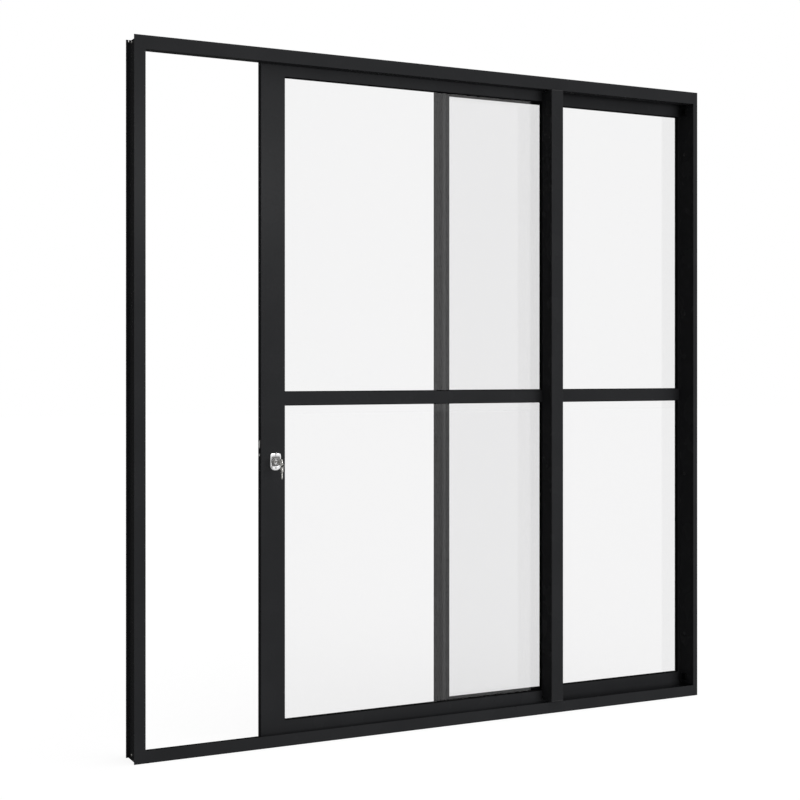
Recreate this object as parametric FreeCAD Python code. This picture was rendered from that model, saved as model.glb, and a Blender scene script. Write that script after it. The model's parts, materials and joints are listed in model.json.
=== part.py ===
import FreeCAD, Part
import math
import os

# A two-panel glass sliding patio door, 2.01 m wide and 2.10 m high, in black aluminium.
# The frame stands on the floor in a wall opening. The rear panel, on the right, is fixed.
# The front panel slides along the sill track and has a lock with a key on its left stile.
# X runs along the door to the right, Y from the front face to the back, Z up.
# The origin is the middle of the sill's bottom face.

# Frame
FRAME_WIDTH = 2010.0
FRAME_HEIGHT = 2100.0
FRAME_DEPTH = 108.0
FRAME_WALL = 2.0
HEAD_FACE = 40.0
SILL_FACE = 36.0
LEFT_FACE = 34.0
RIGHT_FACE = 17.0
GROOVE_DEPTH = 7.0
REAR_FIN_PLACE = 84.0
FRONT_BOX_DEPTH = 33.0
SILL_FLOOR = 9.0
SILL_MID_RIB = 20.0
SILL_REAR_LIP = 11.0
RAIL_HEIGHT = 11.0
RAIL_WIDTH = 3.0
RAIL_CREST = 1.35
HEAD_MID_LEG = 23.0
HEAD_REAR_LEG = 15.0

# Clearances
RUNNING_CLEARANCE = 5.0
GUIDE_CLEARANCE = 1.0
SEAT_CLEARANCE = 0.3
PIN_CLEARANCE = 0.3

# Panels
PANEL_THICKNESS = 24.0
PANEL_WALL = 1.8
HOOK_WALL = 1.5
SLIDER_LEFT = 403.0
SLIDER_WIDTH = 1042.0
LOCK_STILE_WIDTH = 77.5
MEETING_STILE_WIDTH = 43.5
INTERLOCK_LEFT = 1025.0
INTERLOCK_STILE_WIDTH = 45.0
JAMB_STILE_WIDTH = 11.0
TOP_RAIL_FACE = 33.0
BOTTOM_RAIL_FACE = 32.0
MID_RAIL_HEIGHT = 40.0
SLIDER_HEAD_ENTRY = 20.0
FIXED_HEAD_GAP = 3.0
POCKET_DEPTH = 8.0
POCKET_LIP = 4.0
POCKET_LIP_WIDTH = 3.0

# Glass and gaskets
GLASS_THICKNESS = 6.0
GLASS_ENTRY = 6.5
GASKET_SIGHT = 2.0
GASKET_TAPER = 1.2

# Nose and interlock hooks
NOSE_REACH = 20.0
NOSE_OVERHANG = 2.0
NOSE_RADIUS = 3.0
NOSE_END_GAP = 6.0
NOSE_FOOT_GAP = 9.0
CAP_THICKNESS = 3.0
FIXED_HOOK_PLACE = 10.0
FIXED_HOOK_LIP = 14.0
SLIDER_HOOK_LIP = 20.0

# Rollers and guides
WHEEL_RADIUS = 10.0
WHEEL_FLANGE = 2.0
WHEEL_WIDTH = 7.0
AXLE_RADIUS = 2.5
CARRIAGE_LENGTH = 70.0
CARRIAGE_INSET = 150.0
GUIDE_LENGTH = 60.0
GUIDE_HEIGHT = 6.0

# Lock
LOCK_INSET = 46.0
LOCK_HEIGHT = 856.0
ESCUTCHEON_WIDTH = 36.0
ESCUTCHEON_HEIGHT = 53.0
ESCUTCHEON_THICKNESS = 4.0
ESCUTCHEON_CORNER = 8.0
ESCUTCHEON_FOOT = 16.0
ESCUTCHEON_BEVEL = 2.0
CYLINDER_RADIUS = 12.0
CYLINDER_PROUD = 1.5
PLUG_RADIUS = 7.5
FACEPLATE_WIDTH = 16.0
FACEPLATE_HEIGHT = 180.0
FACEPLATE_THICKNESS = 3.0
FACEPLATE_PROUD = 0.8
FACEPLATE_RISE = 24.0
FACEPLATE_CORNER = 7.0
CASE_DEPTH = 52.0
CASE_HEIGHT = 150.0
CASE_SLOT_DEPTH = 17.0
HOOK_BOLT_HEIGHT = 27.0
HOOK_BOLT_THICKNESS = 10.0
HOOK_BOLT_RISE = 54.0
HOOK_BOLT_ROUND = 10.8
BUTTON_SIZE = 8.0
BUTTON_RISE = 21.0

# Keys
KEY_THICKNESS = 2.2
KEY_BLADE_WIDTH = 8.0
KEY_BOW_RADIUS = 12.0
KEY_REACH = 60.0
KEY_ENTRY = 24.0
KEY_HOLE_RADIUS = 3.0
KEY_HOLE_EDGE = 6.0
KEY_CUTS = (1.6, 0.9, 1.8, 1.2)
KEY_CUT_SPACING = 4.0
RING_RADIUS = 7.0
RING_WIRE_RADIUS = 0.8
RING_WIRE_SIDES = 4
SPARE_BOW_RADIUS = 10.0
SPARE_LENGTH = 38.0

# Fixings and stops
SCREW_HOLE_RADIUS = 4.0
SCREW_HOLE_COUNT = 4
SCREW_HOLE_SPACING = 560.0
BUFFER_THICKNESS = 5.0
BUFFER_SIZE = 22.0
STRIKE_THICKNESS = 2.0
STRIKE_HEIGHT = 170.0
STRIKE_WIDTH = 24.0
STRIKE_SLOT_GAP = 2.0
STRIKE_SLOT_HEIGHT = 38.0
SEAL_HEIGHT = 6.0
HOOK_SEAL_INSET = 3.0
HOOK_SEAL_WIDTH = 8.0

# Places that follow from the sizes above, all measured from the frame's left edge and front face
SOFFIT = FRAME_HEIGHT - HEAD_FACE
LEFT_WEB = GROOVE_DEPTH + FRAME_WALL
RIGHT_WEB = FRAME_WIDTH - LEFT_WEB
HEAD_WEB = FRAME_HEIGHT - LEFT_WEB
RIGHT_INNER = FRAME_WIDTH - RIGHT_FACE
SLIDER_FRONT = FRONT_BOX_DEPTH + RUNNING_CLEARANCE
SLIDER_BACK = SLIDER_FRONT + PANEL_THICKNESS
SLIDER_MIDDLE = SLIDER_FRONT + PANEL_THICKNESS / 2
HOOK_GAP = 3 * RUNNING_CLEARANCE + 2 * HOOK_WALL
FIXED_FRONT = SLIDER_BACK + HOOK_GAP
MID_LEG_PLACE = SLIDER_BACK + HOOK_GAP / 2 - FRAME_WALL / 2
SLIDER_RIGHT = SLIDER_LEFT + SLIDER_WIDTH
SLIDER_BOTTOM = SILL_FLOOR + RUNNING_CLEARANCE
SLIDER_TOP = SOFFIT + SLIDER_HEAD_ENTRY
FIXED_TOP = HEAD_WEB - FIXED_HEAD_GAP
DAYLIGHT_BOTTOM = SILL_FACE + BOTTOM_RAIL_FACE
DAYLIGHT_TOP = SOFFIT - TOP_RAIL_FACE
MID_RAIL_BOTTOM = (DAYLIGHT_BOTTOM + DAYLIGHT_TOP - MID_RAIL_HEIGHT) / 2
MID_RAIL_TOP = MID_RAIL_BOTTOM + MID_RAIL_HEIGHT
NOSE_BOTTOM = SILL_FACE + NOSE_FOOT_GAP
NOSE_TOP = SOFFIT - NOSE_END_GAP
RAIL_TOP = SILL_FLOOR + RAIL_HEIGHT
NOSE_LEFT = SLIDER_RIGHT - MEETING_STILE_WIDTH - NOSE_OVERHANG
HOOK_PLACE = INTERLOCK_LEFT + FIXED_HOOK_PLACE
HOOK_FRONT = SLIDER_BACK + RUNNING_CLEARANCE
LOCK_PLACE = SLIDER_LEFT + LOCK_INSET


def at(along, depth, height):
    """A point given from the frame's left edge, its front face and the floor."""
    return FreeCAD.Vector(along - FRAME_WIDTH / 2, depth - FRAME_DEPTH / 2, height)


def block(along, depth, height):
    """A box between pairs of places along the door, in its depth and in height."""
    size = (along[1] - along[0], depth[1] - depth[0], height[1] - height[0])
    return Part.makeBox(*size, at(along[0], depth[0], height[0]))


def upright_rectangle(along, depth):
    """A rectangle of an upright's section, seen from above."""
    corners = [at(a, d, 0) for a, d in ((along[0], depth[0]), (along[1], depth[0]),
                                        (along[1], depth[1]), (along[0], depth[1]))]
    return Part.Face(Part.makePolygon(corners + corners[:1]))


def level_rectangle(depth, height):
    """A rectangle of a level member's section, seen from its end."""
    corners = [at(0, d, z) for d, z in ((depth[0], height[0]), (depth[1], height[0]),
                                        (depth[1], height[1]), (depth[0], height[1]))]
    return Part.Face(Part.makePolygon(corners + corners[:1]))


def section(parts, holes):
    """One section: its parts joined, less its chambers, grooves and pockets."""
    shape = parts[0].fuse(parts[1:]).removeSplitter() if len(parts) > 1 else parts[0]
    return shape.cut(holes).removeSplitter() if holes else shape


def upright(shape, bottom, top):
    """A section drawn from above, made into a length that stands between two heights."""
    solid = shape.Faces[0].extrude(FreeCAD.Vector(0, 0, top - bottom))
    solid.translate(FreeCAD.Vector(0, 0, bottom))
    return solid


def level(shape, left, right):
    """A section drawn from its end, made into a length that lies between two places."""
    solid = shape.Faces[0].extrude(FreeCAD.Vector(right - left, 0, 0))
    solid.translate(FreeCAD.Vector(left, 0, 0))
    return solid


def lies_at(edge, depth):
    """Whether an edge lies wholly in the plane at one depth behind the front face."""
    y = at(0, depth, 0).y
    return abs(edge.BoundBox.YMin - y) < 0.01 and abs(edge.BoundBox.YMax - y) < 0.01


def round_edges(solid, test, radius):
    """The solid with a radius on each edge that passes the test."""
    return solid.makeFillet(radius, [e for e in solid.Edges if test(e)])


def write(name, shape):
    """Write one named piece."""
    shape.exportStep(os.path.join("parts", name + ".step"))


def rod(along, depth_from, depth_to, height, radius):
    """A round bar or hole whose axis runs from front to back."""
    return Part.makeCylinder(radius, depth_to - depth_from, at(along, depth_from, height),
                             FreeCAD.Vector(0, 1, 0))


def head():
    """The head: a hollow front box, two downward tracks and a groove along its top."""
    outline = level_rectangle((0, FRAME_DEPTH), (SOFFIT, FRAME_HEIGHT))
    front_fin = FRAME_WALL
    fin_back = REAR_FIN_PLACE + FRAME_WALL
    chamber_top = HEAD_WEB
    holes = [
        level_rectangle((front_fin, REAR_FIN_PLACE), (HEAD_WEB + FRAME_WALL, FRAME_HEIGHT)),
        level_rectangle((fin_back, FRAME_DEPTH), (HEAD_WEB + FRAME_WALL, FRAME_HEIGHT)),
        level_rectangle((FRAME_WALL, FRONT_BOX_DEPTH - FRAME_WALL),
                        (SOFFIT + FRAME_WALL, chamber_top)),
        level_rectangle((FRONT_BOX_DEPTH, MID_LEG_PLACE), (SOFFIT, chamber_top)),
        level_rectangle((MID_LEG_PLACE, MID_LEG_PLACE + FRAME_WALL),
                        (SOFFIT, chamber_top - HEAD_MID_LEG + FRAME_WALL)),
        level_rectangle((MID_LEG_PLACE + FRAME_WALL, FRAME_DEPTH - FRAME_WALL),
                        (SOFFIT, chamber_top)),
        level_rectangle((FRAME_DEPTH - FRAME_WALL, FRAME_DEPTH),
                        (SOFFIT, chamber_top - HEAD_REAR_LEG + FRAME_WALL)),
    ]
    solid = level(section([outline], holes), 0, FRAME_WIDTH)
    ends = [
        block((0, LEFT_WEB), (FRAME_WALL, FRAME_DEPTH), (SOFFIT, FRAME_HEIGHT)),
        block((RIGHT_WEB, FRAME_WIDTH), (FRAME_WALL, FRAME_DEPTH), (SOFFIT, FRAME_HEIGHT)),
    ]
    return solid.cut(ends).removeSplitter()


def sill():
    """The sill: a hollow base, a front lip, the roller rail, a middle rib and a rear lip."""
    outline = level_rectangle((0, FRAME_DEPTH), (0, SILL_FACE))
    rail = (SLIDER_MIDDLE - RAIL_WIDTH / 2, SLIDER_MIDDLE + RAIL_WIDTH / 2)
    rear_lip = FRAME_DEPTH - FRAME_WALL
    base = (FRAME_WALL, SILL_FLOOR - FRAME_WALL)
    holes = [
        level_rectangle((FRAME_WALL, rail[0]), (SILL_FLOOR, SILL_FACE)),
        level_rectangle(rail, (RAIL_TOP, SILL_FACE)),
        level_rectangle((rail[1], MID_LEG_PLACE), (SILL_FLOOR, SILL_FACE)),
        level_rectangle((MID_LEG_PLACE, MID_LEG_PLACE + FRAME_WALL), (SILL_MID_RIB, SILL_FACE)),
        level_rectangle((MID_LEG_PLACE + FRAME_WALL, rear_lip), (SILL_FLOOR, SILL_FACE)),
        level_rectangle((rear_lip, FRAME_DEPTH), (SILL_REAR_LIP, SILL_FACE)),
        level_rectangle((2 * FRAME_WALL, rail[0] - FRAME_WALL), base),
        level_rectangle((rail[1] + FRAME_WALL, MID_LEG_PLACE - FRAME_WALL), base),
        level_rectangle((MID_LEG_PLACE + 2 * FRAME_WALL, rear_lip), base),
    ]
    solid = level(section([outline], holes), LEFT_WEB, RIGHT_WEB)
    laps = [
        block((LEFT_WEB, LEFT_FACE), (0, FRAME_WALL), (0, SILL_FACE)),
        block((RIGHT_INNER, RIGHT_WEB), (0, FRAME_WALL), (0, SILL_FACE)),
    ]
    solid = solid.cut(laps)
    return round_edges(solid, lambda e: abs(e.BoundBox.ZMin - RAIL_TOP) < 0.01
                       and any(lies_at(e, depth) for depth in rail), RAIL_CREST)


def jamb(outer, face, direction, has_mid_leg):
    """A jamb: its web with an outer groove, a hollow front box and what stands beside the panels."""
    def span(near, far):
        ends = (outer + direction * near, outer + direction * far)
        return (min(ends), max(ends))

    fin_back = REAR_FIN_PLACE + FRAME_WALL
    outline = upright_rectangle(span(0, face), (0, FRAME_DEPTH))
    track_end = FRAME_DEPTH - FRAME_WALL
    holes = [
        upright_rectangle(span(0, GROOVE_DEPTH), (FRAME_WALL, REAR_FIN_PLACE)),
        upright_rectangle(span(0, GROOVE_DEPTH), (fin_back, FRAME_DEPTH)),
        upright_rectangle(span(LEFT_WEB, face - FRAME_WALL),
                          (FRAME_WALL, FRONT_BOX_DEPTH - FRAME_WALL)),
    ]
    if has_mid_leg:
        leg_back = MID_LEG_PLACE + FRAME_WALL
        holes.append(upright_rectangle(span(LEFT_WEB, face), (FRONT_BOX_DEPTH, MID_LEG_PLACE)))
        holes.append(upright_rectangle(span(LEFT_WEB, face), (leg_back, track_end)))
    else:
        box_back = FIXED_FRONT - SEAT_CLEARANCE
        holes.append(upright_rectangle(span(LEFT_WEB, face - FRAME_WALL),
                                       (FRONT_BOX_DEPTH, box_back - FRAME_WALL)))
        holes.append(upright_rectangle(span(LEFT_WEB, face), (box_back, track_end)))
    solid = upright(section([outline], holes), 0, FRAME_HEIGHT)
    cuts = [
        block(span(0, face), (0, FRAME_WALL), (SOFFIT, FRAME_HEIGHT)),
        block(span(LEFT_WEB, face), (FRAME_WALL, FRAME_DEPTH), (SOFFIT, FRAME_HEIGHT)),
        block(span(LEFT_WEB, face), (FRAME_WALL, FRAME_DEPTH), (0, SILL_FACE)),
        block(span(GROOVE_DEPTH, LEFT_WEB), (FRAME_WALL, FRAME_DEPTH),
              (HEAD_WEB + FRAME_WALL, FRAME_HEIGHT)),
    ]
    solid = solid.cut(cuts)
    first = FRAME_HEIGHT / 2 - SCREW_HOLE_SPACING * (SCREW_HOLE_COUNT - 1) / 2
    web = span(0, face + 1)
    for number in range(SCREW_HOLE_COUNT):
        height = first + number * SCREW_HOLE_SPACING
        hole = Part.makeCylinder(SCREW_HOLE_RADIUS, web[1] - web[0],
                                 at(web[0], SLIDER_MIDDLE, height), FreeCAD.Vector(1, 0, 0))
        solid = solid.cut(hole)
    return solid.removeSplitter()


def pocket(edge, direction, front):
    """The glazing pocket of a stile: a wide groove with a narrower mouth between two lips."""
    back = front + PANEL_THICKNESS
    mouth = sorted((edge, edge + direction * POCKET_LIP_WIDTH))
    groove = sorted((edge + direction * POCKET_LIP_WIDTH, edge + direction * POCKET_DEPTH))
    return [
        (tuple(mouth), (front + POCKET_LIP, back - POCKET_LIP)),
        (tuple(groove), (front + PANEL_WALL, back - PANEL_WALL)),
    ]


def stile_section(left, right, front, glass_side, extra_parts=(), extra_holes=()):
    """A stile's section: a hollow box with the glazing pocket on one side."""
    back = front + PANEL_THICKNESS
    parts = [upright_rectangle((left, right), (front, back))] + list(extra_parts)
    if glass_side > 0:
        chamber = (left + PANEL_WALL, right - POCKET_DEPTH - PANEL_WALL)
        grooves = pocket(right, -1, front)
    else:
        chamber = (left + POCKET_DEPTH + PANEL_WALL, right - PANEL_WALL)
        grooves = pocket(left, 1, front)
    holes = [upright_rectangle(*g) for g in grooves] + list(extra_holes)
    if chamber[1] - chamber[0] > PANEL_WALL:
        holes.append(upright_rectangle(chamber, (front + PANEL_WALL, back - PANEL_WALL)))
    return section(parts, holes)


def rail_notch():
    """The slot through a stile's foot that lets it pass along the roller rail."""
    reach = RAIL_WIDTH / 2 + RUNNING_CLEARANCE
    return block((SLIDER_LEFT - 1, SLIDER_RIGHT + 1), (SLIDER_MIDDLE - reach, SLIDER_MIDDLE + reach),
                 (SLIDER_BOTTOM, RAIL_TOP + RUNNING_CLEARANCE))


def lock_stile():
    """The sliding panel's wide left stile, cut for the lock's faceplate and cylinder."""
    right = SLIDER_LEFT + LOCK_STILE_WIDTH
    solid = upright(stile_section(SLIDER_LEFT, right, SLIDER_FRONT, 1), SLIDER_BOTTOM, SLIDER_TOP)
    middle = LOCK_HEIGHT + FACEPLATE_RISE
    plate = block((SLIDER_LEFT - 1, SLIDER_LEFT + PANEL_WALL),
                  (SLIDER_MIDDLE - FACEPLATE_WIDTH / 2, SLIDER_MIDDLE + FACEPLATE_WIDTH / 2),
                  (middle - FACEPLATE_HEIGHT / 2, middle + FACEPLATE_HEIGHT / 2))
    plate = round_edges(plate, lambda e: abs(e.Length - 1 - PANEL_WALL) < 0.01, FACEPLATE_CORNER)
    bore = rod(LOCK_PLACE, SLIDER_FRONT - 1, SLIDER_BACK + 1, LOCK_HEIGHT,
               CYLINDER_RADIUS + SEAT_CLEARANCE)
    return solid.cut([plate, bore, rail_notch()])


def meeting_stile():
    """The sliding panel's right stile, with the hollow nose in front and the hook behind."""
    left = SLIDER_RIGHT - MEETING_STILE_WIDTH
    stile = upright(stile_section(left, SLIDER_RIGHT, SLIDER_FRONT, -1), SLIDER_BOTTOM, SLIDER_TOP)
    nose = section([upright_rectangle((NOSE_LEFT, SLIDER_RIGHT), (-NOSE_REACH, SLIDER_FRONT))],
                   [upright_rectangle((NOSE_LEFT + PANEL_WALL, SLIDER_RIGHT - PANEL_WALL),
                                      (-NOSE_REACH + PANEL_WALL, SLIDER_FRONT - PANEL_WALL))])
    nose = upright(nose, NOSE_BOTTOM, NOSE_TOP)
    hook_back = FIXED_FRONT - RUNNING_CLEARANCE
    hook = section([upright_rectangle((SLIDER_RIGHT - HOOK_WALL, SLIDER_RIGHT),
                                      (SLIDER_BACK, hook_back)),
                    upright_rectangle((SLIDER_RIGHT - SLIDER_HOOK_LIP, SLIDER_RIGHT),
                                      (hook_back - HOOK_WALL, hook_back))], [])
    hook = upright(hook, NOSE_BOTTOM, NOSE_TOP)
    solid = stile.fuse([nose, hook]).removeSplitter().cut(rail_notch())
    tall = NOSE_TOP - NOSE_BOTTOM
    return round_edges(solid, lambda e: abs(e.Length - tall) < 0.01 and lies_at(e, -NOSE_REACH),
                       NOSE_RADIUS)


def nose_cap(bottom):
    """A moulded cap that closes one end of the nose."""
    plate = block((NOSE_LEFT, SLIDER_RIGHT), (-NOSE_REACH, SLIDER_FRONT - SEAT_CLEARANCE),
                  (bottom, bottom + CAP_THICKNESS))
    return round_edges(plate, lambda e: lies_at(e, -NOSE_REACH)
                       and abs(e.Length - CAP_THICKNESS) < 0.01, NOSE_RADIUS)


def interlock_stile():
    """The fixed panel's left stile, with the hook that the sliding panel's hook meets."""
    right = INTERLOCK_LEFT + INTERLOCK_STILE_WIDTH
    stile = upright(stile_section(INTERLOCK_LEFT, right, FIXED_FRONT, 1), SILL_FLOOR, FIXED_TOP)
    hook = section([upright_rectangle((HOOK_PLACE, HOOK_PLACE + HOOK_WALL), (HOOK_FRONT, FIXED_FRONT)),
                    upright_rectangle((HOOK_PLACE, HOOK_PLACE + FIXED_HOOK_LIP),
                                      (HOOK_FRONT, HOOK_FRONT + HOOK_WALL))], [])
    return stile.fuse(upright(hook, NOSE_BOTTOM, NOSE_TOP)).removeSplitter()


def fixed_jamb_stile():
    """The fixed panel's right stile, which stands inside the right jamb."""
    left = RIGHT_WEB - JAMB_STILE_WIDTH
    return upright(stile_section(left, RIGHT_WEB, FIXED_FRONT, -1), SILL_FLOOR, FIXED_TOP)


def rail(front, bottom, top, pockets, chambers, left, right):
    """A level rail between two stiles, with pockets and chambers given by height."""
    back = front + PANEL_THICKNESS
    holes = []
    for edge, direction in pockets:
        for height, depth in pocket(edge, direction, front):
            holes.append(level_rectangle(depth, height))
    for low, high in chambers:
        holes.append(level_rectangle((front + PANEL_WALL, back - PANEL_WALL), (low, high)))
    outline = level_rectangle((front, back), (bottom, top))
    return level(section([outline], holes), left, right)


def rails(front, bottom, top, left, right):
    """A panel's top, middle and bottom rails."""
    root = POCKET_DEPTH + PANEL_WALL
    top_rail = rail(front, DAYLIGHT_TOP, top, [(DAYLIGHT_TOP, 1)],
                    [(DAYLIGHT_TOP + root, top - PANEL_WALL)], left, right)
    mid_rail = rail(front, MID_RAIL_BOTTOM, MID_RAIL_TOP,
                    [(MID_RAIL_BOTTOM, 1), (MID_RAIL_TOP, -1)],
                    [(MID_RAIL_BOTTOM + root, MID_RAIL_TOP - root)], left, right)
    bottom_rail = rail(front, bottom, DAYLIGHT_BOTTOM, [(DAYLIGHT_BOTTOM, -1)],
                       [(bottom, DAYLIGHT_BOTTOM - root)], left, right)
    return top_rail, mid_rail, bottom_rail


def pane(front, left, right, bottom, top):
    """A sheet of glass that reaches into the pockets all round."""
    start = front + (PANEL_THICKNESS - GLASS_THICKNESS) / 2
    return block((left - GLASS_ENTRY, right + GLASS_ENTRY), (start, start + GLASS_THICKNESS),
                 (bottom - GLASS_ENTRY, top + GLASS_ENTRY))


def gasket_ring(left, right, bottom, top, depth, taper_at):
    """One ring of gasket round a sight size, with its inner outer-facing edge tapered."""
    outside = block((left - POCKET_LIP_WIDTH, right + POCKET_LIP_WIDTH), depth,
                    (bottom - POCKET_LIP_WIDTH, top + POCKET_LIP_WIDTH))
    inside = block((left + GASKET_SIGHT, right - GASKET_SIGHT), (depth[0] - 1, depth[1] + 1),
                   (bottom + GASKET_SIGHT, top - GASKET_SIGHT))
    ring = outside.cut(inside)
    sight = right - left - 2 * GASKET_SIGHT
    rise = top - bottom - 2 * GASKET_SIGHT
    edges = [e for e in ring.Edges if lies_at(e, taper_at)
             and min(abs(e.Length - sight), abs(e.Length - rise)) < 0.01]
    return ring.makeChamfer(GASKET_TAPER, edges)


def gaskets(front, left, right, bottom, top):
    """The front and the rear gasket of one pane."""
    glass = front + (PANEL_THICKNESS - GLASS_THICKNESS) / 2
    face = front + POCKET_LIP
    back = front + PANEL_THICKNESS - POCKET_LIP
    return Part.makeCompound([
        gasket_ring(left, right, bottom, top, (face, glass), face),
        gasket_ring(left, right, bottom, top, (glass + GLASS_THICKNESS, back), back),
    ])


def roller_wheel(middle):
    """The grooved wheel of a carriage, with its axle."""
    reach = PANEL_THICKNESS / 2 - PANEL_WALL - SEAT_CLEARANCE
    groove = RAIL_WIDTH / 2 + SEAT_CLEARANCE
    rim = WHEEL_RADIUS + WHEEL_FLANGE
    half = WHEEL_WIDTH / 2
    place = at(middle, SLIDER_MIDDLE, RAIL_TOP + SEAT_CLEARANCE + WHEEL_RADIUS)
    outline = [(0, -reach), (AXLE_RADIUS, -reach), (AXLE_RADIUS, -half), (rim, -half),
               (WHEEL_RADIUS, -groove), (WHEEL_RADIUS, groove), (rim, half),
               (AXLE_RADIUS, half), (AXLE_RADIUS, reach), (0, reach), (0, -reach)]
    wire = Part.makePolygon([place + FreeCAD.Vector(0, y, r) for r, y in outline])
    return Part.Face(wire).revolve(place, FreeCAD.Vector(0, 1, 0), 360)


def roller_carriage(middle):
    """The housing that sits in the bottom rail and holds a wheel on its axle."""
    floor = RAIL_TOP + RUNNING_CLEARANCE
    roof = DAYLIGHT_BOTTOM - POCKET_DEPTH - PANEL_WALL
    half = PANEL_THICKNESS / 2 - PANEL_WALL - SEAT_CLEARANCE
    body = block((middle - CARRIAGE_LENGTH / 2, middle + CARRIAGE_LENGTH / 2),
                 (SLIDER_MIDDLE - half, SLIDER_MIDDLE + half), (floor, roof))
    height = RAIL_TOP + SEAT_CLEARANCE + WHEEL_RADIUS
    rim = WHEEL_RADIUS + WHEEL_FLANGE + 2 * SEAT_CLEARANCE
    slot = WHEEL_WIDTH / 2 + 2 * SEAT_CLEARANCE
    well = block((middle - rim, middle + rim), (SLIDER_MIDDLE - slot, SLIDER_MIDDLE + slot),
                 (floor, height + rim))
    axle = rod(middle, SLIDER_MIDDLE - half - 1, SLIDER_MIDDLE + half + 1, height,
               AXLE_RADIUS + PIN_CLEARANCE)
    return body.cut([well, axle])


def top_guide(middle):
    """A slippery block on the top rail that runs between the head's box and its middle leg."""
    return block((middle - GUIDE_LENGTH / 2, middle + GUIDE_LENGTH / 2),
                 (FRONT_BOX_DEPTH + GUIDE_CLEARANCE, MID_LEG_PLACE - GUIDE_CLEARANCE),
                 (SLIDER_TOP, SLIDER_TOP + GUIDE_HEIGHT))


def escutcheon(face, outward):
    """A cover plate with a rounded foot, a bevelled edge and a hole for the cylinder."""
    depth = sorted((face, face + outward * ESCUTCHEON_THICKNESS))
    plate = block((LOCK_PLACE - ESCUTCHEON_WIDTH / 2, LOCK_PLACE + ESCUTCHEON_WIDTH / 2), depth,
                  (LOCK_HEIGHT - ESCUTCHEON_HEIGHT / 2, LOCK_HEIGHT + ESCUTCHEON_HEIGHT / 2))
    for above, radius in ((True, ESCUTCHEON_CORNER), (False, ESCUTCHEON_FOOT)):
        plate = round_edges(plate, lambda e: abs(e.Length - ESCUTCHEON_THICKNESS) < 0.01
                            and abs(abs(e.BoundBox.ZMin - LOCK_HEIGHT) - ESCUTCHEON_HEIGHT / 2) < 0.01
                            and (e.BoundBox.ZMin > LOCK_HEIGHT) == above, radius)
    rim = [e for e in plate.Edges if lies_at(e, face + outward * ESCUTCHEON_THICKNESS)]
    plate = plate.makeChamfer(ESCUTCHEON_BEVEL, rim)
    return plate.cut(rod(LOCK_PLACE, depth[0] - 1, depth[1] + 1, LOCK_HEIGHT,
                         CYLINDER_RADIUS + SEAT_CLEARANCE))


def lock_cylinder():
    """The cylinder body that runs through the stile, bored for the turning plug."""
    start = SLIDER_FRONT - ESCUTCHEON_THICKNESS - CYLINDER_PROUD
    end = SLIDER_BACK + ESCUTCHEON_THICKNESS
    body = rod(LOCK_PLACE, start, end, LOCK_HEIGHT, CYLINDER_RADIUS)
    bore = rod(LOCK_PLACE, start - 1, SLIDER_FRONT + KEY_ENTRY, LOCK_HEIGHT,
               PLUG_RADIUS + PIN_CLEARANCE)
    return body.cut(bore)


def flat_key(bow_radius, length):
    """A flat key: a round bow with a hole and a notched pointed blade, its tip down."""
    across = FreeCAD.Vector(1, 0, 0)
    start = FreeCAD.Vector(-KEY_THICKNESS / 2, 0, 0)
    bow = Part.makeCylinder(bow_radius, KEY_THICKNESS, start, across)
    half = KEY_BLADE_WIDTH / 2
    tip = bow_radius - length
    places = [(-half, 0), (half, 0)]
    for number, cut in enumerate(KEY_CUTS):
        height = tip + half + KEY_CUT_SPACING * (len(KEY_CUTS) - number)
        places.extend([(half, height + cut), (half - cut, height), (half, height - cut)])
    places.extend([(half, tip + half), (0, tip), (-half, tip + half), (-half, 0)])
    outline = [FreeCAD.Vector(0, y, z) for y, z in places]
    blade = Part.Face(Part.makePolygon(outline)).extrude(across * KEY_THICKNESS)
    blade.translate(start)
    hole_place = start + FreeCAD.Vector(0, 0, bow_radius - KEY_HOLE_EDGE)
    hole = Part.makeCylinder(KEY_HOLE_RADIUS, KEY_THICKNESS, hole_place, across)
    return bow.fuse(blade).removeSplitter().cut(hole)


def plug_face():
    """Where the turning plug's front face lies."""
    return SLIDER_FRONT - ESCUTCHEON_THICKNESS - CYLINDER_PROUD - SEAT_CLEARANCE


def key_tip():
    """The depth of the inserted key's tip."""
    return SLIDER_FRONT + KEY_ENTRY - 2 * FRAME_WALL


def inserted_key():
    """The key in the lock, its blade level and its bow standing out in front."""
    length = KEY_REACH + key_tip() - SLIDER_FRONT
    solid = flat_key(KEY_BOW_RADIUS, length)
    solid.rotate(FreeCAD.Vector(0, 0, 0), FreeCAD.Vector(1, 0, 0), 90)
    solid.translate(at(LOCK_PLACE, SLIDER_FRONT - KEY_REACH + KEY_BOW_RADIUS, LOCK_HEIGHT))
    return solid


def cylinder_plug():
    """The plug that turns with the key, slotted for its blade."""
    plug = rod(LOCK_PLACE, plug_face(), SLIDER_FRONT + KEY_ENTRY - SEAT_CLEARANCE, LOCK_HEIGHT,
               PLUG_RADIUS)
    slot_half = KEY_THICKNESS / 2 + PIN_CLEARANCE / 2
    blade_half = KEY_BLADE_WIDTH / 2 + PIN_CLEARANCE
    slot = block((LOCK_PLACE - slot_half, LOCK_PLACE + slot_half),
                 (plug_face() - 1, key_tip() + SEAT_CLEARANCE),
                 (LOCK_HEIGHT - blade_half, LOCK_HEIGHT + blade_half))
    return plug.cut(slot)


def ring_depth():
    """How far in front of the door the key ring's plane lies."""
    return SLIDER_FRONT - KEY_REACH + KEY_HOLE_EDGE


def ring_height():
    """The height of the key ring's middle, hung from the key's hole."""
    slack = KEY_HOLE_RADIUS - RING_WIRE_RADIUS - SEAT_CLEARANCE
    return LOCK_HEIGHT - slack - RING_RADIUS


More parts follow.
